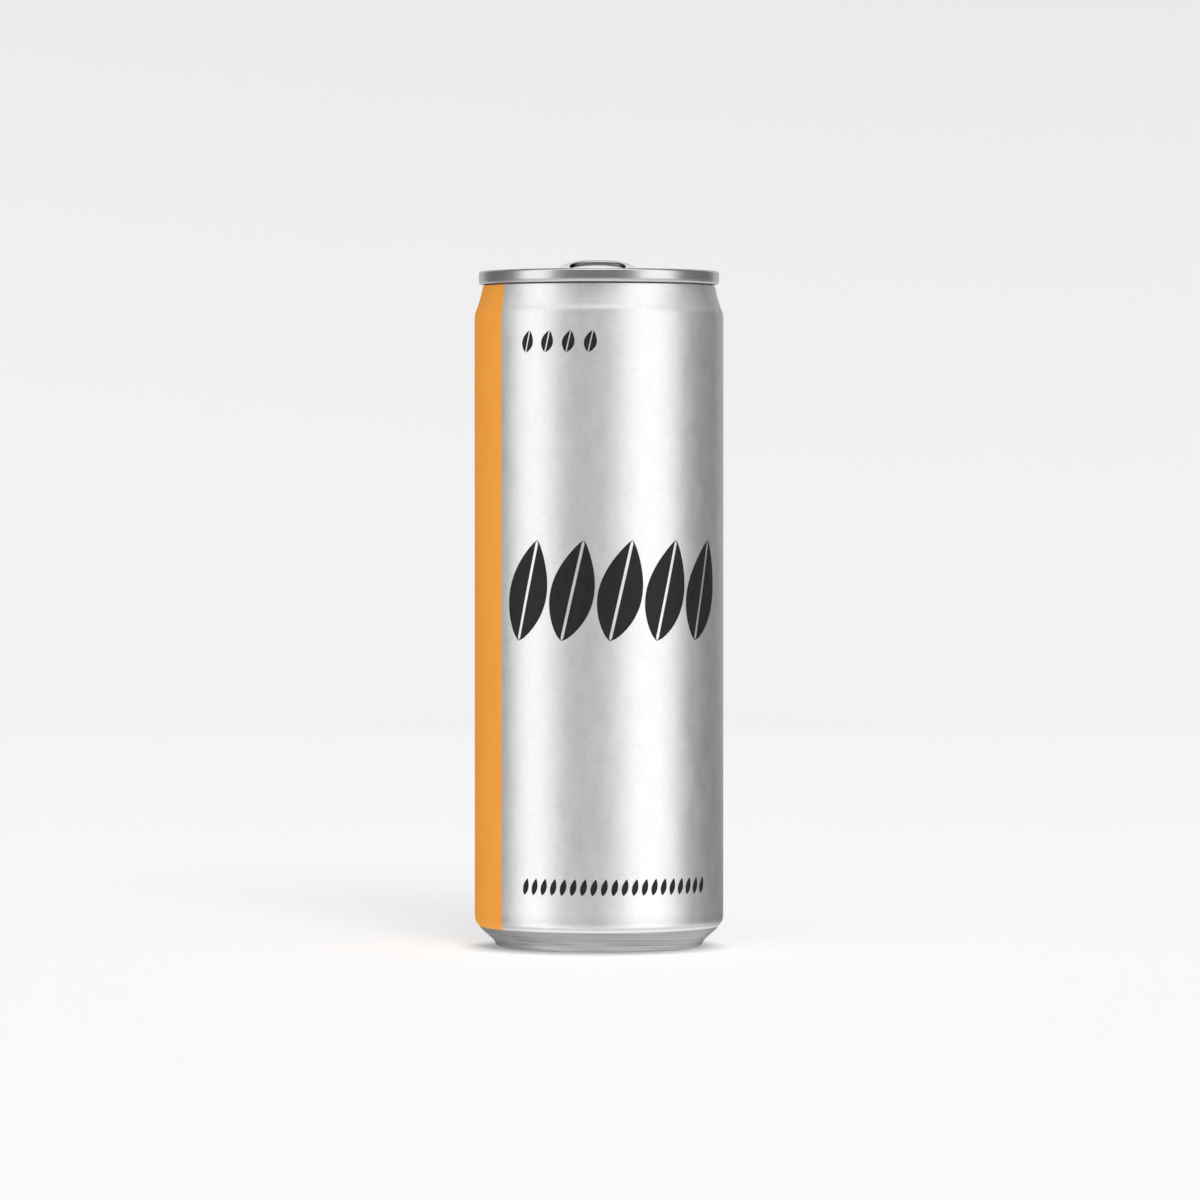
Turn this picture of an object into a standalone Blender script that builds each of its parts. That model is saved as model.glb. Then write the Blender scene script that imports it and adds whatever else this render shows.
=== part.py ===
"""A tall slim drinks can: a drawn body, the lid seamed onto it and a pull tab that stands partly raised."""

import math

import bmesh
import bpy

MM = 0.001
GAP = 0.3

# Driving dimensions in millimetres. The origin is the middle of the base and the front faces -Y.
CAN_HEIGHT = 155.5
BODY_RADIUS = 28.7
SEAM_RADIUS = 27.7
SEAM_HEIGHT = 3.1
NECK_RADIUS = 26.75
SHOULDER_HEIGHT = 7.5
STAND_RADIUS = 22.8
DOME_DEPTH = 10.0
PANEL_DEPTH = 4.3
GROOVE_DEPTH = 6.6
RECESS_DEPTH = 0.4
TAB_TILT = math.radians(16.0)

# Heights that follow from the driving dimensions
SEAM_FOOT = CAN_HEIGHT - SEAM_HEIGHT
NECK_TOP = SEAM_FOOT - GAP
PANEL = CAN_HEIGHT - PANEL_DEPTH
RECESS = PANEL - RECESS_DEPTH
GROOVE = CAN_HEIGHT - GROOVE_DEPTH
LID_UNDERSIDE = GROOVE - 0.6
FILL_TOP = LID_UNDERSIDE - GAP

# The tab bends at a hinge line in front of the rivet. Its own axes start there: u across, v back, w up.
HINGE_Y = -4.0
HINGE_Z = PANEL + 1.4
TAB_HEEL = 20.9
TAB_NOSE = -4.0
TONGUE_HALF = 0.2
RIVET_SHANK = 1.8

ROUND_STEPS = 72
RIVET_STEPS = 24


def clear_scene():
    for old in list(bpy.data.objects):
        bpy.data.objects.remove(old, do_unlink=True)


def new_collection(name):
    collection = bpy.data.collections.new(name)
    bpy.context.scene.collection.children.link(collection)
    return collection


def metal(name, colour, roughness):
    material = bpy.data.materials.new(name)
    material.use_nodes = True
    shader = material.node_tree.nodes["Principled BSDF"]
    shader.inputs["Base Color"].default_value = (*colour, 1.0)
    shader.inputs["Metallic"].default_value = 1.0
    shader.inputs["Roughness"].default_value = roughness
    return material


def add_object(name, mesh, collection):
    thing = bpy.data.objects.new(name, mesh)
    collection.objects.link(thing)
    return thing


def mesh_from(name, points, faces, edges=()):
    """Makes a mesh from points in millimetres."""
    mesh = bpy.data.meshes.new(name)
    mesh.from_pydata([[c * MM for c in point] for point in points], edges, faces)
    mesh.validate()
    return mesh


def turned(name, profile, collection, steps=ROUND_STEPS):
    """Turns a profile of (radius, height) points, from the top of the axis to its foot, about the Z axis."""
    points = [(radius, 0.0, height) for radius, height in profile]
    edges = [(i, i + 1) for i in range(len(points) - 1)]
    thing = add_object(name, mesh_from(name, points, [], edges), collection)
    screw = thing.modifiers.new("turn", "SCREW")
    screw.axis = "Z"
    screw.steps = steps
    screw.render_steps = steps
    screw.use_merge_vertices = True
    screw.merge_threshold = 0.00001
    screw.use_smooth_shade = True
    return thing


def smooth(mesh):
    mesh.shade_smooth()
    mesh.set_sharp_from_angle(angle=math.radians(35.0))


def prism(name, outline, low, high, place, collection):
    """Raises a closed outline of (u, v) points between two levels, with place giving the frame."""
    count = len(outline)
    points = [place(u, v, low) for u, v in outline] + [place(u, v, high) for u, v in outline]
    sides = [(i, (i + 1) % count, count + (i + 1) % count, count + i) for i in range(count)]
    floor = tuple(reversed(range(count)))
    roof = tuple(range(count, 2 * count))
    mesh = mesh_from(name, points, sides + [floor, roof])
    smooth(mesh)
    return add_object(name, mesh, collection)


def ring(name, outline, half_width, half_height, place, collection, level=0.0, sides=8):
    """Runs an elliptical bar round a closed outline."""
    count = len(outline)
    points = []
    for i in range(count):
        before = outline[i - 1]
        after = outline[(i + 1) % count]
        along = (after[0] - before[0], after[1] - before[1])
        length = math.hypot(*along)
        outward = (along[1] / length, -along[0] / length)
        for k in range(sides):
            angle = math.tau * (k + 0.5) / sides
            shift = half_width * math.cos(angle)
            rise = half_height * math.sin(angle)
            u = outline[i][0] + outward[0] * shift
            v = outline[i][1] + outward[1] * shift
            points.append(place(u, v, level + rise))
    faces = []
    for i in range(count):
        j = (i + 1) % count
        for k in range(sides):
            m = (k + 1) % sides
            faces.append((i * sides + k, j * sides + k, j * sides + m, i * sides + m))
    mesh = mesh_from(name, points, faces)
    outwards(mesh)
    smooth(mesh)
    return add_object(name, mesh, collection)


def outwards(mesh):
    work = bmesh.new()
    work.from_mesh(mesh)
    bmesh.ops.recalc_face_normals(work, faces=work.faces)
    work.to_mesh(mesh)
    work.free()


def combine(target, other, operation):
    """Cuts another object out of the target, or joins it on, by an exact boolean."""
    step = target.modifiers.new(f"{operation.lower()} {other.name}", "BOOLEAN")
    step.operation = operation
    step.object = other
    step.solver = "EXACT"
    other.hide_render = True
    other.display_type = "WIRE"


def oval(centre, half_width, half_length, power=2.0, count=48):
    """A closed superellipse round (0, centre), anticlockwise as seen from above."""
    outline = []
    for i in range(count):
        angle = math.tau * i / count
        across = math.copysign(abs(math.cos(angle)) ** (2.0 / power), math.cos(angle))
        along = math.copysign(abs(math.sin(angle)) ** (2.0 / power), math.sin(angle))
        outline.append((half_width * across, centre + half_length * along))
    return outline


def eased(low, high, share):
    """Goes from low to high with a level start and finish."""
    return low + (high - low) * share * share * (3.0 - 2.0 * share)


def on_lid(u, v, w):
    return (u, v, w)


def on_tab(u, v, w):
    """Places a point of the raised tab."""
    y = HINGE_Y + v * math.cos(TAB_TILT) - w * math.sin(TAB_TILT)
    z = HINGE_Z + v * math.sin(TAB_TILT) + w * math.cos(TAB_TILT)
    return (u, y, z)


def neck_profile(steps=8):
    """The slope from the narrow neck out to the full width of the body."""
    points = []
    for i in range(steps + 1):
        share = i / steps
        points.append((eased(NECK_RADIUS, BODY_RADIUS, share), NECK_TOP - SHOULDER_HEIGHT * share))
    return points


def foot_profile():
    """The slanting foot, the ring that the can stands on and the leg inside it."""
    return [
        (BODY_RADIUS, 6.9),
        (BODY_RADIUS - 0.25, 6.05),
        (BODY_RADIUS - 0.75, 5.0),
        (BODY_RADIUS - 1.5, 4.15),
        (BODY_RADIUS - 3.2, 2.6),
        (STAND_RADIUS + 1.15, 0.9),
        (STAND_RADIUS + 0.5, 0.2),
        (STAND_RADIUS, 0.0),
        (STAND_RADIUS - 0.7, 0.0),
        (STAND_RADIUS - 1.15, 0.35),
        (STAND_RADIUS - 1.5, 2.4),
    ]


def dome_profile(steps=7):
    """The dome pushed up into the base, from its edge to its middle."""
    edge_radius = STAND_RADIUS - 2.1
    edge_height = 3.3
    rise = DOME_DEPTH - edge_height
    sphere = (edge_radius ** 2 + rise ** 2) / (2.0 * rise)
    points = []
    for i in range(steps + 1):
        radius = edge_radius * (1.0 - i / steps)
        drop = sphere - math.sqrt(sphere ** 2 - radius ** 2)
        points.append((radius, DOME_DEPTH - drop))
    return points


def build_body(collection):
    """The shut body is solid up to the lid and has a thin wall standing round it."""
    neck_inside = NECK_RADIUS - 0.75
    profile = [(0.0, FILL_TOP), (neck_inside, FILL_TOP), (neck_inside, NECK_TOP)]
    profile += neck_profile() + foot_profile() + dome_profile()
    body = turned("can_body", profile, collection)
    body.data.materials.append(metal("lacquered_aluminium", (0.62, 0.62, 0.61), 0.34))
    return body


def seam_profile():
    """The rolled seam, over its rounded top and down to the lid's underside."""
    middle = SEAM_RADIUS - 0.7
    points = []
    for i in range(7):
        angle = math.pi * (1.0 - i / 6)
        points.append((middle + 0.7 * math.cos(angle), CAN_HEIGHT - 0.6 + 0.6 * math.sin(angle)))
    points += [
        (SEAM_RADIUS, SEAM_FOOT + 0.6),
        (SEAM_RADIUS - 0.15, SEAM_FOOT + 0.18),
        (SEAM_RADIUS - 0.5, SEAM_FOOT),
    ]
    return points


def lid_profile():
    """The panel, the deep groove round it, the wall up to the seam and the flat underside."""
    wall_foot = NECK_RADIUS - 1.05
    return [
        (0.0, PANEL),
        (22.6, PANEL),
        (22.95, PANEL - 0.15),
        (23.2, PANEL - 0.6),
        (23.45, GROOVE + 0.7),
        (23.75, GROOVE + 0.12),
        (24.15, GROOVE),
        (24.55, GROOVE + 0.12),
        (24.85, GROOVE + 0.7),
        (25.3, NECK_TOP - 0.1),
        (26.15, SEAM_FOOT + 1.1),
    ] + seam_profile() + [
        (wall_foot, SEAM_FOOT),
        (wall_foot, LID_UNDERSIDE),
        (0.0, LID_UNDERSIDE),
    ]


def rivet_profile():
    """The head, the shank through the tab's tongue and the boss that it is drawn from."""
    tongue_top = HINGE_Z + TONGUE_HALF
    boss_top = HINGE_Z - TONGUE_HALF - GAP
    head = tongue_top + GAP
    return [
        (0.0, head + 0.6),
        (1.4, head + 0.56),
        (2.3, head + 0.4),
        (2.8, head + 0.12),
        (2.75, head),
        (RIVET_SHANK, head),
        (RIVET_SHANK, boss_top),
        (3.1, boss_top),
        (3.6, boss_top - 0.35),
        (4.1, RECESS - 0.1),
        (4.1, RECESS - 0.6),
        (0.0, RECESS - 0.6),
    ]


def recess_outline(count=56):
    """The egg-shaped field pressed down round the mouth and under the tab, wider at the front."""
    outline = []
    for i in range(count):
        angle = math.tau * i / count
        half_width = 12.8 - 2.2 * math.sin(angle)
        outline.append((half_width * math.cos(angle), -1.0 + 18.6 * math.sin(angle)))
    return outline


def well_cutter(collection):
    """The shallow dish that leaves room for a fingertip under the tab."""
    ball = bmesh.new()
    bmesh.ops.create_uvsphere(ball, u_segments=24, v_segments=12, radius=1.0)
    for vert in ball.verts:
        vert.co.x *= 7.0 * MM
        vert.co.y = vert.co.y * 4.4 * MM + 11.6 * MM
        vert.co.z = vert.co.z * 1.6 * MM + (RECESS + 1.1) * MM
    mesh = bpy.data.meshes.new("finger_well")
    ball.to_mesh(mesh)
    ball.free()
    return add_object("finger_well", mesh, collection)


def build_lid(collection, cutters):
    lid = turned("can_end", lid_profile(), collection)
    lid.data.materials.append(metal("lid_aluminium", (0.66, 0.66, 0.66), 0.24))
    mouth = oval(-11.8, 10.4, 6.8, power=2.4)
    combine(lid, prism("recess", recess_outline(), RECESS, PANEL + 1.0, on_lid, cutters), "DIFFERENCE")
    combine(lid, ring("score", mouth, 0.2, 0.3, on_lid, cutters, level=RECESS, sides=4), "DIFFERENCE")
    combine(lid, well_cutter(cutters), "DIFFERENCE")
    bead = oval(-13.4, 5.8, 3.0, count=32)
    combine(lid, ring("bead", bead, 0.55, 0.3, on_lid, cutters, level=RECESS, sides=6), "UNION")
    combine(lid, turned("rivet", rivet_profile(), cutters, RIVET_STEPS), "UNION")
    return lid


def tab_outline(inset, count=56):
    """The tab's outline: a rounded heel and a slightly narrower nose joined by gently tapering sides."""
    heel_centre, heel_half, heel_length = 13.2, 8.7 - inset, TAB_HEEL - 13.2 - inset
    nose_centre, nose_half, nose_length = 3.4, 7.9 - inset, 3.4 - TAB_NOSE - inset
    half = count // 2
    outline = []
    for i in range(half + 1):
        angle = math.pi * i / half
        across = math.copysign(abs(math.cos(angle)) ** 0.87, math.cos(angle))
        outline.append((heel_half * across, heel_centre + heel_length * math.sin(angle) ** 0.87))
    for i in range(half + 1):
        angle = math.pi + math.pi * i / half
        across = math.copysign(abs(math.cos(angle)) ** 0.9, math.cos(angle))
        outline.append((nose_half * across, nose_centre - nose_length * abs(math.sin(angle)) ** 0.9))
    return outline


def build_tab(collection, cutters):
    """The hemmed ring and its web are tilted; the tongue under the rivet head stays flat."""
    edge = tab_outline(0.75)
    tab = prism("pull_tab", edge, -0.25, 0.25, on_tab, collection)
    tab.data.materials.append(metal("tab_aluminium", (0.66, 0.66, 0.66), 0.22))
    hole = oval(14.7, 7.0, 4.7, power=2.3, count=40)
    void = oval(4.5, 4.2, 4.2, power=3.0, count=32)
    combine(tab, prism("finger_hole", hole, -2.0, 2.0, on_tab, cutters), "DIFFERENCE")
    combine(tab, prism("void", void, -2.0, 2.0, on_tab, cutters), "DIFFERENCE")
    combine(tab, ring("outer_hem", edge, 0.75, 0.5, on_tab, cutters), "UNION")
    combine(tab, ring("hole_hem", hole, 0.5, 0.42, on_tab, cutters), "UNION")
    tongue = prism(
        "tongue", oval(-0.7, 3.1, 3.9, power=3.5, count=32),
        HINGE_Z - TONGUE_HALF, HINGE_Z + TONGUE_HALF, on_lid, cutters,
    )
    combine(tab, tongue, "UNION")
    rivet_hole = oval(0.0, RIVET_SHANK + GAP, RIVET_SHANK + GAP, count=RIVET_STEPS)
    drill = prism("rivet_hole", rivet_hole, HINGE_Z - 0.6, HINGE_Z + 0.6, on_lid, cutters)
    combine(tab, drill, "DIFFERENCE")
    return tab


def main():
    clear_scene()
    parts = new_collection("soda_can")
    cutters = new_collection("cutters")
    build_body(parts)
    build_lid(parts, cutters)
    build_tab(parts, cutters)


main()
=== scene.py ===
"""A tall slim drinks can with an orange band, rows of printed leaves and a raised pull tab."""

import math

import bmesh
import bpy
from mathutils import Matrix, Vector


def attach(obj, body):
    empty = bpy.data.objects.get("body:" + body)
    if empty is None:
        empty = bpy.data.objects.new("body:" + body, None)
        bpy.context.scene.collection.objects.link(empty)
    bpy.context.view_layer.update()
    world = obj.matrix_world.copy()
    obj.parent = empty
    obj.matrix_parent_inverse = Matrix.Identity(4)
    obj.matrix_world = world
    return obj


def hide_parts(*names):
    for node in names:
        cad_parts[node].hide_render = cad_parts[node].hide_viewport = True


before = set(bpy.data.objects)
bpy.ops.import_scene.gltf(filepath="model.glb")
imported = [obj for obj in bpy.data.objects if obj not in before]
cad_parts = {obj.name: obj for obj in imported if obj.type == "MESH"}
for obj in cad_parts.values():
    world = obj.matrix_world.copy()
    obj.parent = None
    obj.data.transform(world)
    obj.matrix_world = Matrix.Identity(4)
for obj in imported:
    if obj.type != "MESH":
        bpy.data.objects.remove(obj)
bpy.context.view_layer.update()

MM = 0.001

# Heights and radii of the can in millimetres, from the middle of its base
CAN_HEIGHT = 155.45
BODY_RADIUS = 28.66
NECK_RADIUS = 26.75
NECK_WALL = 0.75
NECK_TOP = 152.05
SHOULDER_FOOT = 144.0
WALL_FOOT = 7.0
SEAM_RADIUS = 27.68
SEAM_FOOT = 152.42
STAND_RADIUS = 22.8
DOME_HEIGHT = 10.0
PANEL = 151.2
PANEL_RADIUS = 22.6
RELIEF_RADIUS = 22.0
RECESS = 150.8
GROOVE = 148.9
LID_UNDERSIDE = 148.3
FILL_TOP = 148.0

# The tab bends up along a hinge line in front of the rivet, and is turned a little about the rivet
HINGE_Y = -4.0
HINGE_Z = 152.6
TAB_TILT = math.radians(16.0)
TAB_TURN = math.radians(1.8)

# Places along the tab, back from the hinge, and the levels of its flat web
TAB_HEEL = 20.75
TAB_NOSE = -4.0
HEEL_CENTRE = 13.2
NOSE_CENTRE = 3.4
FINGER_HOLE = 14.7
RIVET_GAP = 4.5
WEB_TOP = 0.1
WEB_FOOT = -0.12

# The print: its lower edge, the lacquer's edge below it and the columns of faces in the orange band
PRINT_FOOT = 5.3
EDGE_WIDTH = 0.55
BODY_STEPS = 256
NECK_ROWS = 3
BAND_COLUMNS = (100, 156)
BAND_REACH = BODY_RADIUS * math.sin(math.radians(50.6))
SLEW_COLUMNS = 14.0
SLEW_SHARE = 0.6
LEAF_LEAN = math.radians(13.0)
INK_LIFT = 0.03

# The places of the body's finishes in its list of materials; the edge and the base also carry painted
# light
WALL, BAND, EDGE, BASE = range(4)

# Noise lies mostly between these two values, so shades and ranges are spread over them
NOISE_LOW, NOISE_HIGH = 0.3, 0.7
NOISE = {"From Min": NOISE_LOW, "From Max": NOISE_HIGH}

# The lowest and highest point of a tall softbox, in metres
LAMP_LOW, LAMP_HIGH = -1.1, 1.3


# Small tools for shapes


def eased(low, high, share):
    """Goes from low to high with a level start and finish."""
    share = min(1.0, max(0.0, share))
    return low + (high - low) * share * share * (3.0 - 2.0 * share)


def signed_power(value, power):
    """Raises a number's size to a power and keeps its sign."""
    return math.copysign(abs(value) ** power, value)


def smooth_line(points, per_span=5):
    """A smooth line through some (radius, height) points."""
    padded = [points[0]] + list(points) + [points[-1]]
    line = []
    for before, start, end, after in zip(padded, padded[1:], padded[2:], padded[3:]):
        for step in range(per_span):
            t = step / per_span
            weights = (
                -0.5 * t + t * t - 0.5 * t ** 3,
                1.0 - 2.5 * t * t + 1.5 * t ** 3,
                0.5 * t + 2.0 * t * t - 1.5 * t ** 3,
                -0.5 * t * t + 0.5 * t ** 3,
            )
            corners = (before, start, end, after)
            line.append(tuple(sum(w * p[k] for w, p in zip(weights, corners)) for k in (0, 1)))
    return line + [points[-1]]


def arc(centre, radii, start, end, steps):
    """Points on an ellipse in the profile's plane, between two angles in degrees."""
    points = []
    for i in range(steps + 1):
        angle = math.radians(start + (end - start) * i / steps)
        points.append((centre[0] + radii[0] * math.cos(angle), centre[1] + radii[1] * math.sin(angle)))
    return points


def even_steps(outline, count):
    """Spreads points evenly along a closed outline."""
    closed = outline + [outline[0]]
    lengths = [0.0]
    for a, b in zip(closed, closed[1:]):
        lengths.append(lengths[-1] + math.dist(a, b))
    spread = []
    k = 0
    for i in range(count):
        target = lengths[-1] * i / count
        while lengths[k + 1] < target:
            k += 1
        span = lengths[k + 1] - lengths[k]
        t = (target - lengths[k]) / span if span else 0.0
        a, b = closed[k], closed[k + 1]
        spread.append((a[0] + (b[0] - a[0]) * t, a[1] + (b[1] - a[1]) * t))
    return spread


def oval(centre, half_width, half_length, power, count):
    """A closed oval round (0, centre), squarer as power grows past 2."""
    outline = []
    for i in range(count * 4):
        angle = math.tau * i / (count * 4)
        across = signed_power(math.cos(angle), 2.0 / power)
        along = signed_power(math.sin(angle), 2.0 / power)
        outline.append((half_width * across, centre + half_length * along))
    return even_steps(outline, count)


def turned_mesh(profile, steps, relief=None, slew=None):
    """Turns a profile about the Z axis, from a point on the axis at the top to one at the foot.

    relief raises the points above the lid's underside, and slew turns a column at each radius.
    """
    rings = profile[1:-1]
    points = [(0.0, 0.0, profile[0][1] + (relief(0.0, 0.0) if relief else 0.0))]
    for radius, height in rings:
        for j in range(steps):
            angle = math.tau * j / steps + (slew(j, radius) if slew else 0.0)
            x, y = radius * math.cos(angle), radius * math.sin(angle)
            lift = relief(x, y) if relief and height > LID_UNDERSIDE else 0.0
            points.append((x, y, height + lift))
    points.append((0.0, 0.0, profile[-1][1]))
    last = len(points) - 1
    faces = [(0, 1 + j, 1 + (j + 1) % steps) for j in range(steps)]
    for i in range(len(rings) - 1):
        top, low = 1 + i * steps, 1 + (i + 1) * steps
        for j in range(steps):
            k = (j + 1) % steps
            faces.append((top + j, low + j, low + k, top + k))
    base = 1 + (len(rings) - 1) * steps
    faces += [(base + j, last, base + (j + 1) % steps) for j in range(steps)]
    return points, faces


def make_piece(name, points, faces, materials, node=None):
    """Makes a smooth-shaded piece from points in millimetres, which rides on the can."""
    mesh = bpy.data.meshes.new(name)
    mesh.from_pydata([[c * MM for c in point] for point in points], [], faces)
    mesh.shade_smooth()
    mesh.set_sharp_from_angle(angle=math.radians(40.0))
    piece = bpy.data.objects.new(name, mesh)
    bpy.context.scene.collection.objects.link(piece)
    for material in materials:
        mesh.materials.append(material)
    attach(piece, "root")
    if node:
        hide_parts(node)
    return piece


# Small tools for materials


def srgb(code):
    """Turns an sRGB hex colour into the linear values that a shader takes."""
    parts = [int(code[i : i + 2], 16) / 255.0 for i in (1, 3, 5)]
    linear = [p / 12.92 if p <= 0.04045 else ((p + 0.055) / 1.055) ** 2.4 for p in parts]
    return (*linear, 1.0)


def feed(tree, node, inputs):
    """Gives each input of a node its value or its link. A node stands for its own first output."""
    for key, value in inputs.items():
        if isinstance(value, bpy.types.Node):
            value = value.outputs[0]
        if isinstance(value, bpy.types.NodeSocket):
            tree.links.new(value, node.inputs[key])
        else:
            node.inputs[key].default_value = value


def add(tree, kind, inputs=None, stops=None, **settings):
    """Adds a node with its inputs and settings. stops gives a ramp's colours by their places."""
    node = tree.nodes.new(kind)
    for key, value in settings.items():
        setattr(node, key, value)
    if stops:
        for element, (place, colour) in zip(node.color_ramp.elements, stops.items()):
            element.position = place
            element.color = srgb(colour)
    feed(tree, node, inputs or {})
    return node


def start_material(name, colour, metallic, roughness, **more):
    """A Principled material with its even values set on the shader itself."""
    material = bpy.data.materials.new(name)
    material.use_nodes = True
    tree = material.node_tree
    shader = tree.nodes["Principled BSDF"]
    even = {"Base Color": srgb(colour), "Metallic": metallic, "Roughness": roughness, **more}
    feed(tree, shader, even)
    place = add(tree, "ShaderNodeTexCoord").outputs["Object"]
    return material, tree, shader, place


def grain(tree, place, spacing, stretch, detail=2.0):
    """Noise with grains about spacing millimetres apart, drawn out along the axes by stretch."""
    scale = 1.0 / (spacing * MM)
    scales = [scale / s for s in stretch]
    mapped = add(tree, "ShaderNodeMapping", {"Vector": place, "Scale": scales})
    return add(tree, "ShaderNodeTexNoise", {"Vector": mapped, "Scale": 1.0, "Detail": detail})


def round_grain(tree, place, spacing, stretch):
    """Noise drawn out round the can's axis, as a turning tool leaves it.

    The grains are stretch times as long as they are wide where they lie 25 mm from the axis.
    """
    scale = 1.0 / (spacing * MM)
    usual_radius = 25.0 * MM
    height = add(tree, "ShaderNodeSeparateXYZ", {"Vector": place}).outputs["Z"]
    flat = add(tree, "ShaderNodeVectorMath", {0: place, 1: (1.0, 1.0, 0.0)}, operation="MULTIPLY")
    radius = add(tree, "ShaderNodeVectorMath", {0: flat}, operation="LENGTH").outputs["Value"]
    out = add(tree, "ShaderNodeMath", {0: radius, 1: scale}, operation="MULTIPLY")
    up = add(tree, "ShaderNodeMath", {0: height, 1: scale}, operation="MULTIPLY")
    across = add(tree, "ShaderNodeVectorMath", {0: flat}, operation="NORMALIZE")
    turn_scale = scale * usual_radius / stretch
    turn = add(tree, "ShaderNodeVectorMath", {0: across, "Scale": turn_scale}, operation="SCALE")
    rows = add(tree, "ShaderNodeCombineXYZ", {"X": out, "Y": up})
    both = add(tree, "ShaderNodeVectorMath", {0: rows, 1: turn})
    return add(tree, "ShaderNodeTexNoise", {"Vector": both, "Scale": 1.0, "Detail": 3.0})


# Materials


def lacquered_aluminium():
    """Drawn and ironed aluminium under matt clear lacquer: a soft sheen with faint upright lines."""
    material, tree, shader, place = start_material("lacquered_aluminium", "#ebebea", 1.0, 0.43)
    # Draw lines are 0.05 mm apart on a real wall; they are drawn at 0.45 mm so that they show.
    lines = grain(tree, place, 0.45, (1.0, 1.0, 26.0), 3.0)
    # The lacquer's thickness drifts over about 3 mm, and its surface is pebbled at about 0.3 mm.
    haze = grain(tree, place, 3.2, (1.0, 1.0, 1.8), 3.0)
    speck = grain(tree, place, 0.32, (1.0, 1.0, 1.5), 2.0)
    mixed = add(tree, "ShaderNodeMath", {0: lines, 1: 0.8, 2: haze}, operation="MULTIPLY_ADD")
    # The wall is painted darker over its lowest few millimetres, as shade from the floor that it
    # mirrors there.
    height = add(tree, "ShaderNodeSeparateXYZ", {"Vector": place}).outputs["Z"]
    foot = add(tree, "ShaderNodeMapRange", {
        "Value": height, "From Min": 5.5 * MM, "From Max": 9.0 * MM, "To Min": 0.2, "To Max": 0.4,
    })
    tone = add(tree, "ShaderNodeMath", {0: haze, 1: 0.2, 2: foot}, operation="MULTIPLY_ADD")
    tone = add(tree, "ShaderNodeMath", {0: speck, 1: 0.3, 2: tone}, operation="MULTIPLY_ADD")
    shades = {NOISE_LOW: "#cacac9", NOISE_HIGH: "#eeeeed"}
    feed(tree, shader, {
        "Base Color": add(tree, "ShaderNodeValToRGB", {"Fac": tone}, shades),
        "Roughness": add(tree, "ShaderNodeMapRange", {
            "Value": mixed, "From Min": 0.6, "From Max": 1.2, "To Min": 0.41, "To Max": 0.46,
        }),
        "Normal": add(tree, "ShaderNodeBump", {"Height": mixed, "Distance": 0.002 * MM}),
    })
    return material


def orange_ink():
    """Opaque orange litho ink under the lacquer: even, with the wall's draw lines faint in it."""
    material, tree, shader, place = start_material("orange_ink", "#ffa83c", 0.0, 0.55, IOR=1.4)
    lines = grain(tree, place, 0.5, (1.0, 1.0, 22.0), 3.0)
    cloud = grain(tree, place, 6.0, (1.0, 1.0, 2.5), 2.0)
    shades = {NOISE_LOW: "#fea63b", NOISE_HIGH: "#ffaa3e"}
    rough = {"Value": lines, **NOISE, "To Min": 0.50, "To Max": 0.60}
    feed(tree, shader, {
        "Base Color": add(tree, "ShaderNodeValToRGB", {"Fac": cloud}, shades),
        "Roughness": add(tree, "ShaderNodeMapRange", rough),
        "Normal": add(tree, "ShaderNodeBump", {"Height": lines, "Distance": 0.004 * MM}),
    })
    return material


def charcoal_ink():
    """Charcoal litho ink under the lacquer: nearly black, a little paler where it is thin."""
    material, tree, shader, place = start_material("charcoal_ink", "#1c1c1c", 0.0, 0.55, IOR=1.33)
    cloud = grain(tree, place, 1.8, (1.0, 1.0, 2.0), 3.0)
    shades = {NOISE_LOW: "#171717", NOISE_HIGH: "#232323"}
    rough = {"Value": cloud, **NOISE, "To Min": 0.5, "To Max": 0.6}
    feed(tree, shader, {
        "Base Color": add(tree, "ShaderNodeValToRGB", {"Fac": cloud}, shades),
        "Roughness": add(tree, "ShaderNodeMapRange", rough),
    })
    return material


def bare_base_with_painted_shade():
    """Turned, unprinted aluminium at the foot with fine lines round it, painted darker as shade from
    the floor it mirrors.
    """
    material, tree, shader, place = start_material("bare_base_with_painted_shade", "#afafaf", 1.0, 0.32)
    # The lines are 0.1 mm apart on a real can; they are drawn at 0.3 mm so that they show.
    lines = round_grain(tree, place, 0.3, 30.0)
    shades = {NOISE_LOW: "#969695", NOISE_HIGH: "#c6c6c5"}
    rough = {"Value": lines, **NOISE, "To Min": 0.28, "To Max": 0.46}
    feed(tree, shader, {
        "Base Color": add(tree, "ShaderNodeValToRGB", {"Fac": lines}, shades),
        "Roughness": add(tree, "ShaderNodeMapRange", rough),
        "Normal": add(tree, "ShaderNodeBump", {"Height": lines, "Distance": 0.02 * MM}),
    })
    return material


def lacquer_edge_highlight():
    """The edge where the clear lacquer stops: a thin pale line, partly the real thick edge, partly a
    painted highlight.
    """
    material, tree, shader, place = start_material("lacquer_edge_highlight", "#efefee", 1.0, 0.5)
    cloud = grain(tree, place, 0.8, (1.0, 1.0, 1.0), 2.0)
    rough = {"Value": cloud, **NOISE, "To Min": 0.44, "To Max": 0.56}
    feed(tree, shader, {"Roughness": add(tree, "ShaderNodeMapRange", rough)})
    return material


def lid_aluminium():
    """Rolled lid sheet under a thin clear coat: half gloss, with fine straight rolling lines."""
    material, tree, shader, place = start_material("lid_aluminium", "#d8d8d7", 1.0, 0.3)
    # Rolling lines are 0.05 mm apart on a real lid; they are drawn at 0.25 mm so that they show.
    lines = grain(tree, place, 0.25, (40.0, 1.0, 1.0), 3.0)
    shades = {NOISE_LOW: "#d6d6d5", NOISE_HIGH: "#dadad9"}
    rough = {"Value": lines, **NOISE, "To Min": 0.29, "To Max": 0.31}
    feed(tree, shader, {
        "Base Color": add(tree, "ShaderNodeValToRGB", {"Fac": lines}, shades),
        "Roughness": add(tree, "ShaderNodeMapRange", rough),
        "Normal": add(tree, "ShaderNodeBump", {"Height": lines, "Distance": 0.00012 * MM}),
    })
    return material


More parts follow.
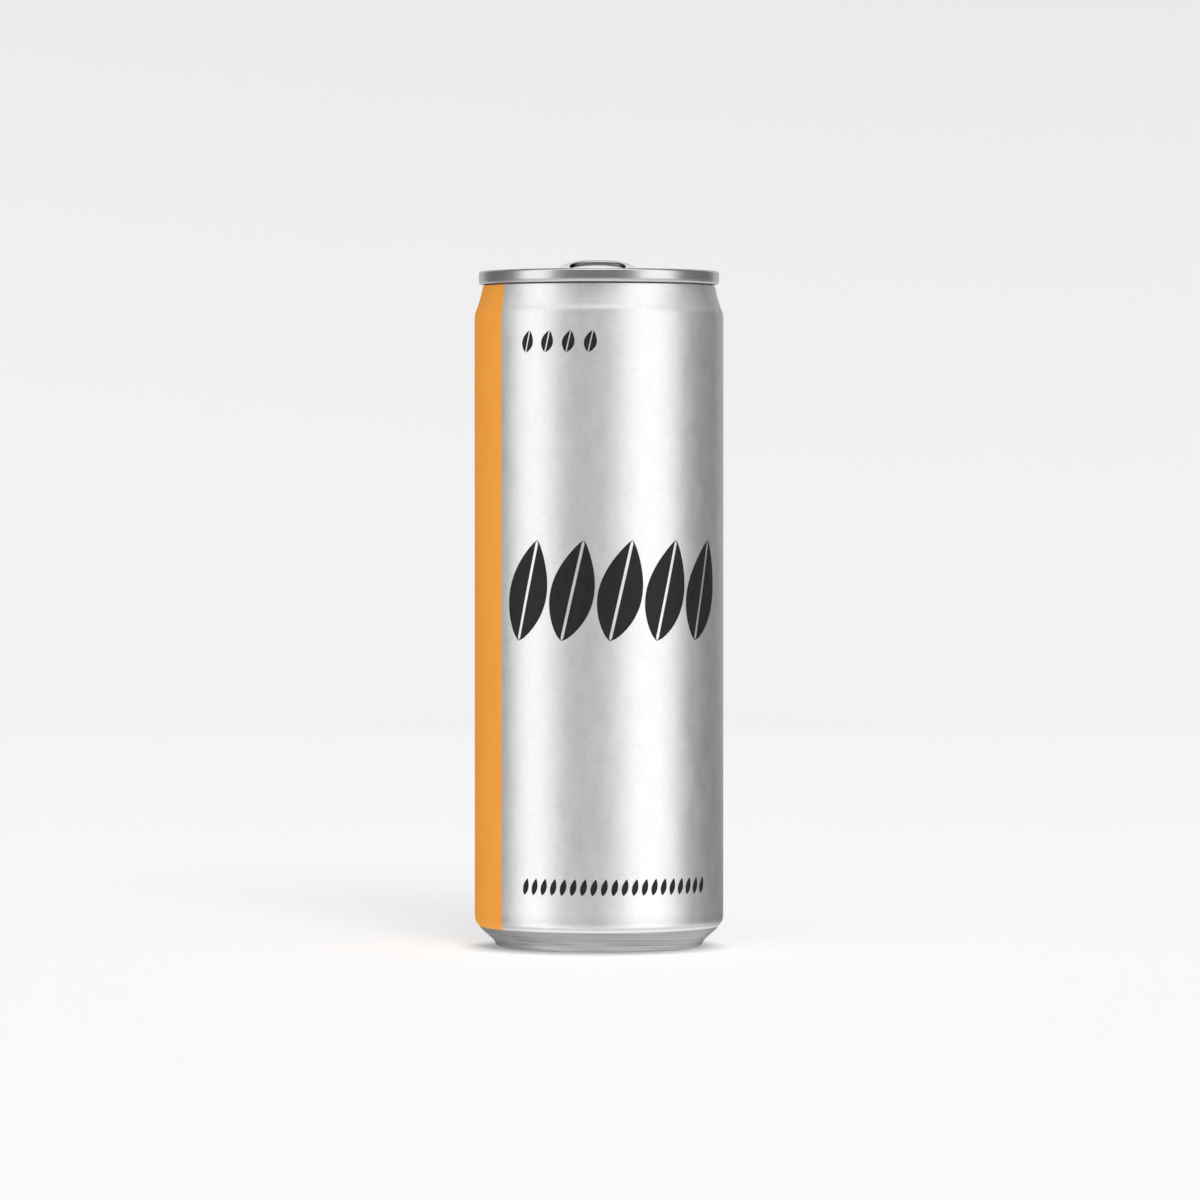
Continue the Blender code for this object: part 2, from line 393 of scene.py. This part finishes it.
def painted_seam_shade():
    """Painted shade in the seam's gap: a matt grey line between the lid and the neck."""
    material, tree, shader, place = start_material("painted_seam_shade", "#aeaead", 0.0, 0.75)
    cloud = grain(tree, place, 0.6, (1.0, 1.0, 1.0), 2.0)
    shades = {NOISE_LOW: "#a6a6a5", NOISE_HIGH: "#b6b6b5"}
    feed(tree, shader, {"Base Color": add(tree, "ShaderNodeValToRGB", {"Fac": cloud}, shades)})
    return material


def tab_aluminium():
    """Rolled tab sheet: glossier than the lid, with rolling lines along its length."""
    material, tree, shader, place = start_material("tab_aluminium", "#d4d4d3", 1.0, 0.22)
    # The rolling lines are drawn at 0.22 mm, about four times as coarse as the real ones.
    lines = grain(tree, place, 0.22, (1.0, 30.0, 1.0), 3.0)
    shades = {NOISE_LOW: "#d2d2d1", NOISE_HIGH: "#d7d7d6"}
    rough = {"Value": lines, **NOISE, "To Min": 0.20, "To Max": 0.26}
    feed(tree, shader, {
        "Base Color": add(tree, "ShaderNodeValToRGB", {"Fac": lines}, shades),
        "Roughness": add(tree, "ShaderNodeMapRange", rough),
        "Normal": add(tree, "ShaderNodeBump", {"Height": lines, "Distance": 0.0006 * MM}),
    })
    return material


def painted_shade_hem():
    """Tab sheet inside the finger hole's curl, painted with shade that is nearly black at the hole's
    ends.
    """
    material, tree, shader, place = start_material("painted_shade_hem_aluminium", "#8a8a8a", 1.0, 0.3)
    # Painted shade: the curl's colour runs from pale grey at 3 mm off the middle to nearly black at 6
    # mm.
    across = add(tree, "ShaderNodeSeparateXYZ", {"Vector": place}).outputs["X"]
    out = add(tree, "ShaderNodeMath", {0: across}, operation="ABSOLUTE")
    end = add(tree, "ShaderNodeMapRange", {"Value": out, "From Min": 3.0 * MM, "From Max": 6.0 * MM})
    shades = {0.0: "#c8c8c7", 1.0: "#161616"}
    feed(tree, shader, {"Base Color": add(tree, "ShaderNodeValToRGB", {"Fac": end}, shades)})
    return material


# The body


def body_profile():
    """The neck, the straight wall, the slanting foot, the stand ring and the dome, top to bottom."""
    inside = NECK_RADIUS - NECK_WALL
    profile = [(0.0, FILL_TOP), (inside, FILL_TOP), (inside, NECK_TOP)]
    profile += smooth_line([
        (NECK_RADIUS, NECK_TOP),
        (NECK_RADIUS + 0.18, 151.0),
        (NECK_RADIUS + 0.41, 150.0),
        (NECK_RADIUS + 0.69, 149.0),
        (NECK_RADIUS + 1.0, 148.0),
        (NECK_RADIUS + 1.19, 147.4),
        (NECK_RADIUS + 1.39, 146.85),
        (BODY_RADIUS - 0.30, 146.3),
        (BODY_RADIUS - 0.13, 145.7),
        (BODY_RADIUS - 0.04, 145.15),
        (BODY_RADIUS - 0.01, 144.6),
        (BODY_RADIUS, SHOULDER_FOOT),
    ], 4)
    rows = 12
    for i in range(1, rows):
        profile.append((BODY_RADIUS, SHOULDER_FOOT + (WALL_FOOT - SHOULDER_FOOT) * i / rows))
    profile += smooth_line([
        (BODY_RADIUS, WALL_FOOT),
        (BODY_RADIUS - 0.10, 6.3),
        (BODY_RADIUS - 0.26, 5.85),
        (BODY_RADIUS - 0.6, PRINT_FOOT),
    ])
    profile += smooth_line([
        (BODY_RADIUS - 1.0, PRINT_FOOT - EDGE_WIDTH),
        (BODY_RADIUS - 1.55, 4.1),
        (BODY_RADIUS - 2.4, 3.3),
        (BODY_RADIUS - 3.3, 2.5),
        (STAND_RADIUS + 1.6, 1.6),
        (STAND_RADIUS + 1.1, 0.8),
    ])
    profile += arc((STAND_RADIUS - 0.35, 0.6), (1.3, 0.6), -15.0, -170.0, 22)
    profile += smooth_line([
        (STAND_RADIUS - 1.7, 1.2),
        (STAND_RADIUS - 1.8, 2.4),
        (STAND_RADIUS - 1.95, 3.0),
    ])
    return profile + dome_profile()


def dome_profile(steps=26):
    """The dome, a cap of a sphere, from its edge inside the stand ring to its middle."""
    edge_radius = STAND_RADIUS - 2.15
    edge_height = 3.35
    rise = DOME_HEIGHT - edge_height
    sphere = (edge_radius ** 2 + rise ** 2) / (2.0 * rise)
    points = []
    for i in range(steps + 1):
        radius = edge_radius * (1.0 - i / steps)
        drop = sphere - math.sqrt(sphere ** 2 - radius ** 2)
        points.append((radius, DOME_HEIGHT - drop))
    return points


def band_slew(column, radius):
    """Turns the columns beside the band so that its edges stay nearly upright as the can narrows."""
    if radius < 0.85 * BODY_RADIUS:
        return 0.0
    turn = math.asin(min(1.0, BAND_REACH / radius)) - math.asin(BAND_REACH / BODY_RADIUS)
    low_column, high_column = BAND_COLUMNS
    near_low = eased(1.0, 0.0, abs(column - low_column) / SLEW_COLUMNS)
    near_high = eased(1.0, 0.0, abs(column - high_column) / SLEW_COLUMNS)
    return SLEW_SHARE * turn * (near_low - near_high)


def body_finish_and_painted_light(face, corners):
    """The finish that a face of the body takes by its place on the can, painted highlight and painted
    shade included.
    """
    middle = sum(corner.z for corner in corners) / len(corners)
    reach = max(corner.xy.length for corner in corners)
    in_dome = middle <= DOME_HEIGHT and reach < STAND_RADIUS
    # Below the print the bare base takes painted shade, and the row at the print's foot takes the
    # edge's painted highlight.
    if in_dome or middle < PRINT_FOOT - EDGE_WIDTH:
        return BASE
    row, column = divmod(face.index, BODY_STEPS)
    if BAND_COLUMNS[0] <= column < BAND_COLUMNS[1] and row >= NECK_ROWS:
        return BAND
    return EDGE if middle < PRINT_FOOT else WALL


def build_body():
    """One turned shell whose faces take the wall, band, lacquer edge or bare base finish, the edge with
    a painted highlight and the base with painted shade.
    """
    points, faces = turned_mesh(body_profile(), BODY_STEPS, slew=band_slew)
    finishes_and_painted_light = [lacquered_aluminium(), orange_ink(), lacquer_edge_highlight(), bare_base_with_painted_shade()]
    body = make_piece("body", points, faces, finishes_and_painted_light, "can_body")
    for face in body.data.polygons:
        corners = [body.data.vertices[i].co / MM for i in face.vertices]
        face.material_index = body_finish_and_painted_light(face, corners)
    return body


# The printed leaves


def leaf_swell(share):
    """A leaf's width at a share of its height: 0 at both tips, and 1 just below the middle."""
    if not 0.0 < share < 1.0:
        return 0.0
    return math.sin(math.pi * share ** 0.88) ** 0.82


def leaf_half(points, faces, centre, size, vein, side):
    """Adds half of a leaf, wrapped on the wall. centre and size are (round the wall, up it).

    vein is half the width of the bare line along the leaf's middle.
    """
    along, across = 26, 6
    start = len(points)
    radius = BODY_RADIUS + INK_LIFT
    for i in range(along + 1):
        rise = (i / along - 0.5) * size[1]
        outer = 0.5 * size[0] * leaf_swell(i / along)
        inner = min(vein, outer)
        for j in range(across + 1):
            shift = side * (inner + (outer - inner) * j / across)
            u = centre[0] + shift * math.cos(LEAF_LEAN) + rise * math.sin(LEAF_LEAN)
            z = centre[1] - shift * math.sin(LEAF_LEAN) + rise * math.cos(LEAF_LEAN)
            turn = u / BODY_RADIUS
            points.append((radius * math.sin(turn), -radius * math.cos(turn), z))
    for i in range(along):
        for j in range(across):
            a = start + i * (across + 1) + j
            b = a + across + 1
            faces.append((a, a + 1, b + 1, b) if side > 0 else (a, b, b + 1, a + 1))


def build_leaves():
    """Three rows of plain leaves in charcoal ink: small at the top, large in the middle, tiny below."""
    points, faces = [], []
    # The row's height, its first and last leaf's place round the wall, count, size and vein
    rows = (
        (138.9, -17.2, -1.9, 4, (2.9, 5.2), 0.15),
        (82.4, -17.2, 27.4, 5, (10.2, 23.6), 0.34),
        (15.1, -17.7, 27.3, 20, (1.45, 3.9), 0.0),
    )
    for height, first, last, count, size, vein in rows:
        for i in range(count):
            u = first + (last - first) * i / (count - 1)
            for side in (-1, 1):
                leaf_half(points, faces, (u, height), size, vein, side)
    return make_piece("printed_leaves", points, faces, [charcoal_ink()])


# The lid


def ridge(distance, height, width):
    """A rounded ridge along the line where distance is 0, or a groove where height is below 0."""
    return height * math.exp(-((distance / width) ** 2))


def oval_distance(x, y, centre, half_width, half_length, power=2.0):
    """Roughly how far a point is outside an oval round (0, centre), in millimetres."""
    y -= centre
    reach = (abs(x / half_width) ** power + abs(y / half_length) ** power) ** (1.0 / power)
    if reach < 0.000001:
        return -min(half_width, half_length)
    return math.hypot(x, y) * (1.0 - 1.0 / reach)


def recess_distance(x, y):
    """Roughly how far a point is outside the egg-shaped recess, in millimetres."""
    centre, half_length = -1.0, 18.6
    half_width, narrowing = 12.8, 2.2
    share = (y - centre) / half_length
    reach = math.hypot(x / (half_width - narrowing * max(-1.0, min(1.0, share))), share)
    if reach < 0.000001:
        return -10.0
    return math.hypot(x, y - centre) * (1.0 - 1.0 / reach)


def mouth_relief(x, y):
    """The mouth's score line, the fine line inside it and the raised bead on the mouth panel."""
    score = oval_distance(x, y, -11.8, 10.4, 6.8, 2.4)
    # The score stops on one side near the rivet, where the mouth panel stays joined to the lid.
    cut = eased(0.0, 1.0, (x + 5.5) / 1.5) if y > -8.0 and x < 0.0 else 1.0
    bead = oval_distance(x, y, -13.4, 5.8, 3.0)
    return cut * (ridge(score, -0.16, 0.2) + ridge(score + 0.9, -0.07, 0.2)) + ridge(bead, 0.3, 0.5)


def finger_well(x, y):
    """The hollow under the tab's heel, where a fingertip goes."""
    well = (x / 7.0) ** 2 + ((y - 11.6) / 4.4) ** 2
    return -0.5 * (1.0 - well) ** 1.4 if well < 1.0 else 0.0


def panel_relief(x, y):
    """Height of the pressed panel above its flat level, in millimetres."""
    radius = math.hypot(x, y)
    if radius > RELIEF_RADIUS:
        return 0.0
    recess = (RECESS - PANEL) * eased(1.0, 0.0, recess_distance(x, y) / 0.7 + 0.5)
    rivet_boss = 1.3 * eased(1.0, 0.0, radius - 3.1)
    return recess + mouth_relief(x, y) + finger_well(x, y) + rivet_boss


def lid_profile():
    """The panel, the groove round it, the wall, the rounded seam and the flat underside."""
    rings = 112
    profile = [(PANEL_RADIUS * i / rings, PANEL) for i in range(rings + 1)]
    profile += arc((PANEL_RADIUS, PANEL - 0.45), (0.5, 0.45), 80.0, 0.0, 5)
    profile += smooth_line([
        (23.15, PANEL - 0.8),
        (23.4, GROOVE + 0.75),
        (23.7, GROOVE + 0.2),
        (24.15, GROOVE),
        (24.6, GROOVE + 0.2),
        (24.88, GROOVE + 0.75),
        (25.3, NECK_TOP - 0.1),
        (25.75, SEAM_FOOT + 0.45),
        (26.2, SEAM_FOOT + 1.2),
        (26.28, CAN_HEIGHT - 0.6),
    ], 4)
    half_seam, crown = 0.7, 0.6
    profile += arc((SEAM_RADIUS - half_seam, CAN_HEIGHT - crown), (half_seam, crown), 170.0, 0.0, 16)
    profile += smooth_line([
        (SEAM_RADIUS, CAN_HEIGHT - 0.75),
        (SEAM_RADIUS, SEAM_FOOT + 0.9),
        (SEAM_RADIUS - 0.02, SEAM_FOOT + 0.68),
        (SEAM_RADIUS - 0.07, SEAM_FOOT + 0.45),
        (SEAM_RADIUS - 0.16, SEAM_FOOT + 0.22),
        (SEAM_RADIUS - 0.33, SEAM_FOOT + 0.05),
        (SEAM_RADIUS - 0.75, SEAM_FOOT),
    ], 4)
    skirt = NECK_RADIUS - 1.05
    return profile + [(skirt, SEAM_FOOT), (skirt, LID_UNDERSIDE), (0.0, LID_UNDERSIDE)]


def rivet_profile():
    """A flattened head with a dimple and a rounded edge, on a short shank."""
    head, shank = HINGE_Z + 0.5, 1.8
    rounded = smooth_line([
        (0.0, head + 0.38), (0.5, head + 0.4), (0.95, head + 0.55), (1.4, head + 0.6),
        (2.1, head + 0.52), (2.6, head + 0.32), (2.82, head + 0.1), (2.78, head),
    ], 4)
    return rounded + [(shank, head), (shank, HINGE_Z - 0.5), (shank, RECESS), (0.0, RECESS)]


def build_lid():
    """The lid and its rivet in one piece, with painted shade on the faces in the seam's gap."""
    points, faces = turned_mesh(lid_profile(), 400, relief=panel_relief)
    rivet_points, rivet_faces = turned_mesh(rivet_profile(), 48)
    shift = len(points)
    faces += [tuple(i + shift for i in face) for face in rivet_faces]
    finishes_and_painted_light = [lid_aluminium(), painted_seam_shade()]
    lid = make_piece("lid", points + rivet_points, faces, finishes_and_painted_light, "can_end")
    for face in lid.data.polygons:
        corners = [lid.data.vertices[i].co / MM for i in face.vertices]
        # Faces below the seam and out near the neck take the gap's painted shade.
        below_seam = max(corner.z for corner in corners) < SEAM_FOOT + 0.01
        in_gap = min(corner.xy.length for corner in corners) > NECK_RADIUS - 1.2
        face.material_index = int(below_seam and in_gap)
    return lid


# The pull tab


def on_tab(u, v, w):
    """Places a point of the raised tab: u across, v back from the hinge and w up from its middle."""
    y = HINGE_Y + v * math.cos(TAB_TILT) - w * math.sin(TAB_TILT)
    z = HINGE_Z + v * math.sin(TAB_TILT) + w * math.cos(TAB_TILT)
    turned_x = u * math.cos(TAB_TURN) - y * math.sin(TAB_TURN)
    turned_y = u * math.sin(TAB_TURN) + y * math.cos(TAB_TURN)
    return turned_x, turned_y, z


def add_corner(shape, point):
    """Adds a corner to the tab's mesh at a point in millimetres."""
    return shape.verts.new([c * MM for c in point])


def tab_outline(count=176):
    """A rounded heel and a slightly narrower, squarer nose, joined by gently tapering sides."""
    heel_half, heel_length = 8.7, TAB_HEEL - HEEL_CENTRE
    nose_half, nose_length = 7.9, NOSE_CENTRE - TAB_NOSE
    half = count // 2
    outline = []
    for i in range(half + 1):
        angle = math.pi * i / half
        outline.append((heel_half * math.cos(angle), HEEL_CENTRE + heel_length * math.sin(angle)))
    for i in range(half + 1):
        angle = math.pi + math.pi * i / half
        across, along = signed_power(math.cos(angle), 0.9), signed_power(math.sin(angle), 0.9)
        outline.append((nose_half * across, NOSE_CENTRE + nose_length * along))
    return even_steps(outline, count)


def web_rise(v):
    """How far the web is pressed up beside the finger hole, level with the curls."""
    return eased(0.0, 0.26, (v - 9.6) / 1.6)


def moulding(shape, outline, section, shaded=()):
    """Runs a section of (inset, level) points round a closed outline.

    The first two points lie on the web's top. The strips numbered in shaded take the hem's painted
    shade.
    Returns the first and the last loop of corners, between which the web is filled in.
    """
    count = len(outline)
    loops = [[] for _ in section]
    for i in range(count):
        before, after = outline[i - 1], outline[(i + 1) % count]
        along = (after[0] - before[0], after[1] - before[1])
        length = math.hypot(*along)
        inward = (-along[1] / length, along[0] / length)
        for k, (inset, level) in enumerate(section):
            u, v = outline[i][0] + inward[0] * inset, outline[i][1] + inward[1] * inset
            rise = web_rise(v) if k < 2 else 0.0
            loops[k].append(add_corner(shape, on_tab(u, v, level + rise)))
    for k, (upper, lower) in enumerate(zip(loops, loops[1:])):
        for i in range(count):
            j = (i + 1) % count
            face = shape.faces.new((upper[i], upper[j], lower[j], lower[i]))
            face.material_index = int(k in shaded)
    return loops[0], loops[-1]


def edges_of(loop):
    """The edges that join a closed loop of corners."""
    found = []
    for a, b in zip(loop, loop[1:] + loop[:1]):
        found.append(next(e for e in a.link_edges if e.other_vert(a) is b))
    return found


def curl(reach, height, depth, power, joins):
    """The section of a curled edge: out from the web's top, over the curl and back under the web."""
    section = [(joins + 0.25, WEB_TOP), (joins, WEB_TOP + 0.02)]
    for i in range(19):
        angle = math.radians(25.0 + 310.0 * i / 18)
        out = signed_power(math.cos(angle), power)
        up = signed_power(math.sin(angle), power)
        section.append((reach + reach * out, (height if up > 0.0 else depth) * up))
    return section + [(joins, WEB_FOOT - 0.02), (joins + 0.25, WEB_FOOT)]


def tab_web(shape):
    """The curled rim and finger hole and the flat web between them, with the gap round the rivet."""
    hole_line = oval(FINGER_HOLE, 6.5, 4.2, 2.3, 120)[::-1]
    gap_line = oval(RIVET_GAP, 4.2, 4.2, 3.0, 96)[::-1]
    cut_edge = [(0.06, WEB_TOP), (0.0, 0.06), (0.0, -0.08), (0.06, WEB_FOOT)]
    rim = moulding(shape, tab_outline(), curl(0.5, 0.45, 0.58, 0.7, 1.0))
    # The inner strips of the finger hole's curl take the painted shade.
    hole = moulding(shape, hole_line, curl(0.36, 0.42, 0.64, 0.45, 0.66), shaded=range(9, 16))
    gap = moulding(shape, gap_line, cut_edge)
    for side in (0, 1):
        edges = edges_of(rim[side]) + edges_of(hole[side]) + edges_of(gap[side])
        bmesh.ops.triangle_fill(shape, use_beauty=True, use_dissolve=False, edges=edges)


def tongue_half(y):
    """Half the tongue's width: a strip in front that rounds off behind the rivet."""
    if y <= -3.0:
        return 2.95
    return 3.1 * max(0.0, 1.0 - abs((y + 0.7) / 3.9) ** 3.5) ** (1.0 / 3.5)


def tab_tongue(shape):
    """The flat tongue under the rivet's head, bent down in front of the hinge."""
    rows, columns = 30, 12
    front, length, half_thickness = -5.2, 8.4, 0.17
    for level in (half_thickness, -half_thickness):
        grid = []
        for i in range(rows + 1):
            y = front + length * i / rows
            z = HINGE_Z + min(0.0, y - HINGE_Y) * math.tan(TAB_TILT) + level
            across = [tongue_half(y) * (2.0 * j / columns - 1.0) for j in range(columns + 1)]
            grid.append([add_corner(shape, (x, y, z)) for x in across])
        for a, b in zip(grid, grid[1:]):
            for j in range(columns):
                shape.faces.new((a[j], a[j + 1], b[j + 1], b[j]))


def tab_ribs(shape):
    """A raised crescent between the nose and the rivet, and a bar in front of the finger hole."""
    steps, around = 32, 8
    angles = [math.pi * k / around for k in range(around + 1)]
    # Each rib's place along the tab, half its length, its bow and half its width
    for centre, half, bow, width in ((-1.15, 4.6, 0.9, 0.42), (9.35, 4.2, -0.35, 0.3)):
        rows = []
        for i in range(steps + 1):
            share = 2.0 * i / steps - 1.0
            taper = math.sqrt(max(0.0, 1.0 - share ** 4))
            v = centre + bow * share * share
            row = []
            for a in angles:
                across, up = width * taper * math.cos(a), 0.3 * taper * math.sin(a)
                row.append(add_corner(shape, on_tab(half * share, v + across, 0.06 + up)))
            rows.append(row)
        for a, b in zip(rows, rows[1:]):
            for k in range(around):
                shape.faces.new((a[k], b[k], b[k + 1], a[k + 1]))


def build_tab():
    """The web with its curled edges, the tongue and the ribs, in tab sheet and the hem's painted shade.
    """
    shape = bmesh.new()
    tab_web(shape)
    tab_tongue(shape)
    tab_ribs(shape)
    bmesh.ops.recalc_face_normals(shape, faces=shape.faces)
    shape.verts.ensure_lookup_table()
    points = [[c / MM for c in v.co] for v in shape.verts]
    faces = [[v.index for v in face.verts] for face in shape.faces]
    finishes_and_painted_light = [face.material_index for face in shape.faces]
    shape.free()
    tab = make_piece("tab", points, faces, [tab_aluminium(), painted_shade_hem()], "pull_tab")
    tab.data.polygons.foreach_set("material_index", finishes_and_painted_light)
    return tab


# The studio


def studio_paper():
    """Pale matt paper, with a faint glow that keeps its far side from falling dark."""
    material, tree, shader, place = start_material("studio_paper", "#b4b4b4", 0.0, 0.9)
    split = add(tree, "ShaderNodeSeparateXYZ", {"Vector": place}).outputs
    # The glow falls slowly over the floor, and faster where the paper rises behind the can.
    glow = add(tree, "ShaderNodeMapRange", {
        "Value": split["Y"], "From Min": -0.6, "From Max": 1.25, "To Min": 0.640, "To Max": 0.585,
    })
    far = add(tree, "ShaderNodeMapRange", {"Value": split["Y"], "From Min": 1.25, "From Max": 2.0})
    glow = add(tree, "ShaderNodeMath", {0: far, 1: -0.135, 2: glow}, operation="MULTIPLY_ADD")
    glow = add(tree, "ShaderNodeMath", {0: split["Z"], 1: -0.15, 2: glow}, operation="MULTIPLY_ADD")
    # It fades under the can, whose foot keeps the light of the room off the paper there.
    out = add(
        tree, "ShaderNodeVectorMath", {0: place, 1: (-0.001, -0.004, 0.0)}, operation="DISTANCE"
    ).outputs["Value"]
    clear = add(tree, "ShaderNodeMapRange", {
        "Value": out, "From Min": 0.023, "From Max": 0.032, "To Min": 0.35, "To Max": 1.0,
    })
    shown = add(tree, "ShaderNodeMath", {0: glow, 1: clear}, operation="MULTIPLY")
    feed(tree, shader, {"Emission Color": (1.0, 1.0, 1.0, 1.0), "Emission Strength": shown})
    return material


def build_floor():
    """The floor and the wall round it as one shallow bowl, which the metal doesn't mirror."""
    steps = 96
    line = arc((1.4, 0.6), (0.6, 0.6), -90.0, -10.0, 16)
    points = [(0.0, 0.0, 0.0)]
    for radius, height in line:
        for j in range(steps):
            turn = math.tau * j / steps
            points.append((radius * math.cos(turn), radius * math.sin(turn), height))
    faces = [(0, 1 + j, 1 + (j + 1) % steps) for j in range(steps)]
    for i in range(len(line) - 1):
        for j in range(steps):
            a, b = 1 + i * steps + j, 1 + i * steps + (j + 1) % steps
            faces.append((a, a + steps, b + steps, b))
    mesh = bpy.data.meshes.new("studio_floor")
    mesh.from_pydata(points, [], faces)
    mesh.shade_smooth()
    mesh.materials.append(studio_paper())
    floor = bpy.data.objects.new("studio_floor", mesh)
    bpy.context.scene.collection.objects.link(floor)
    floor.visible_glossy = False
    floor.visible_diffuse = False
    floor.visible_shadow = False
    return floor


def aim(thing, target):
    """Turns a light to face a point."""
    way = Vector(target) - thing.location
    thing.rotation_euler = way.to_track_quat("-Z", "Y").to_euler()


def softbox(name, azimuth, spread, brightness, receivers, blockers, low, high):
    """An upright soft light for some pieces, one metre from the can's axis.

    Azimuth 0 is the camera's side, and + is to its right. Both it and spread are in degrees.
    Only the blockers throw shadows in it, so a tall one also lights from under the floor.
    """
    distance, height = 1.0, high - low
    width = 2.0 * distance * math.tan(math.radians(spread / 2.0))
    lamp = bpy.data.lights.new(name, "AREA")
    lamp.shape = "RECTANGLE"
    lamp.size = width
    lamp.size_y = height
    lamp.energy = math.pi * width * height * brightness
    thing = bpy.data.objects.new(name, lamp)
    turn = math.radians(azimuth)
    middle = (low + high) / 2.0
    thing.location = (distance * math.sin(turn), -distance * math.cos(turn), middle)
    aim(thing, (0.0, 0.0, middle))
    bpy.context.scene.collection.objects.link(thing)
    thing.light_linking.receiver_collection = receivers
    thing.light_linking.blocker_collection = blockers


def floor_key(paper):
    """A broad sun from the front right, on the paper alone, which throws the can's soft shadow."""
    lamp = bpy.data.lights.new("floor_key", "SUN")
    lamp.energy = 1.45
    lamp.angle = math.radians(24.0)
    key = bpy.data.objects.new("floor_key", lamp)
    turn, lift = math.radians(15.0), math.radians(34.0)
    key.location = (math.sin(turn) * math.cos(lift), -math.cos(turn) * math.cos(lift), math.sin(lift))
    aim(key, (0.0, 0.0, 0.0))
    bpy.context.scene.collection.objects.link(key)
    key.light_linking.receiver_collection = paper


def build_lights(wall, lid, tab, can, paper):
    """Upright softboxes, each for the wall, the lid or the tab, and one key light for the paper."""
    # Name, azimuth, spread, brightness, what it lights, and its lowest and highest point in metres
    rows = (
        ("wall_left", -62.3, 42.5, 1.17, wall, LAMP_LOW, LAMP_HIGH),
        ("wall_right", 48.7, 56.5, 1.11, wall, LAMP_LOW, LAMP_HIGH),
        ("wall_front", -3.0, 50.0, 0.19, wall, -0.35, 0.55),
        ("wall_back", 158.0, 36.0, 0.3, wall, 0.0, LAMP_HIGH),
        ("shoulder_left", -60.0, 46.0, 0.14, wall, 0.45, LAMP_HIGH),
        ("shoulder_right", 47.0, 56.0, 0.16, wall, 0.45, LAMP_HIGH),
        ("neck_left", -100.0, 40.0, 0.4, wall, 0.5, 1.2),
        ("neck_right", 104.0, 40.0, 0.4, wall, 0.5, 1.2),
        ("lid_left", -63.0, 35.0, 1.26, lid, -0.1, LAMP_HIGH),
        ("lid_right", 57.0, 40.0, 1.26, lid, -0.1, LAMP_HIGH),
        ("lid_back", 180.0, 80.0, 0.45, lid, LAMP_LOW, LAMP_HIGH),
        ("tab_back", 180.0, 80.0, 0.9, tab, 0.5, LAMP_HIGH),
    )
    for name, azimuth, spread, brightness, lit, low, high in rows:
        softbox(name, azimuth, spread, brightness, lit, can, low, high)
    floor_key(paper)


def build_world():
    """A dim room with a bright ceiling, so that the metal has dark and light to show."""
    world = bpy.data.worlds.new("studio")
    bpy.context.scene.world = world
    world.use_nodes = True
    tree = world.node_tree
    way = add(tree, "ShaderNodeTexCoord").outputs["Generated"]
    split = add(tree, "ShaderNodeSeparateXYZ", {"Vector": way}).outputs
    # The room is a little brighter behind the camera than behind the can.
    room = add(tree, "ShaderNodeMapRange", {
        "Value": split["Y"], "From Min": 0.2, "From Max": -1.0, "To Min": 0.17, "To Max": 0.2,
    })
    # The ceiling is a round bright patch, nearly straight above the can.
    up = add(
        tree, "ShaderNodeVectorMath", {0: way, 1: (0.0, -0.34, 0.94)}, operation="DOT_PRODUCT"
    ).outputs["Value"]
    ceiling = add(tree, "ShaderNodeMapRange", {"Value": up, "From Min": 0.87, "From Max": 0.95})
    lit = add(tree, "ShaderNodeMath", {0: ceiling, 1: 1.6, 2: room}, operation="MULTIPLY_ADD")
    # The floor shows in the slanting foot of the can. It is darker behind, towards the left.
    back_left = add(
        tree, "ShaderNodeVectorMath", {0: way, 1: (-0.6, 0.8, 0.0)}, operation="DOT_PRODUCT"
    ).outputs["Value"]
    floor = add(tree, "ShaderNodeMapRange", {
        "Value": back_left, "From Min": 0.5, "From Max": 0.7, "To Min": 0.7, "To Max": 0.3,
    })
    below = add(tree, "ShaderNodeMapRange", {"Value": split["Z"], "From Min": -0.22, "From Max": -0.5})
    lit = add(tree, "ShaderNodeMath", {0: floor, 1: below, 2: lit}, operation="MULTIPLY_ADD")
    feed(tree, tree.nodes["Background"], {"Color": lit, "Strength": 1.0})


def build_camera():
    """A long lens 1.54 m in front, below the level of the rim, looking very slightly down."""
    lens = bpy.data.cameras.new("camera")
    lens.lens = 200.4
    lens.sensor_width = 36.0
    lens.clip_start = 0.1
    lens.clip_end = 20.0
    camera = bpy.data.objects.new("camera", lens)
    camera.location = (0.00023, -1.54, 0.107)
    look_down = 1.012
    camera.rotation_euler = (math.radians(90.0 - look_down), 0.0, 0.0)
    bpy.context.scene.collection.objects.link(camera)
    bpy.context.scene.camera = camera


def group(name, pieces):
    """A collection of pieces, for a light to shine on or be stopped by."""
    collection = bpy.data.collections.new(name)
    for piece in pieces:
        collection.objects.link(piece)
    return collection


def main():
    """Builds the can and the studio round it."""
    bpy.context.scene.view_settings.view_transform = "Standard"
    body, leaves, lid, tab = build_body(), build_leaves(), build_lid(), build_tab()
    floor = build_floor()
    build_world()
    build_lights(
        group("wall", [body, leaves]),
        group("lid", [lid]),
        group("tab", [tab]),
        group("can", [body, leaves, lid, tab]),
        group("paper", [floor]),
    )
    build_camera()


main()
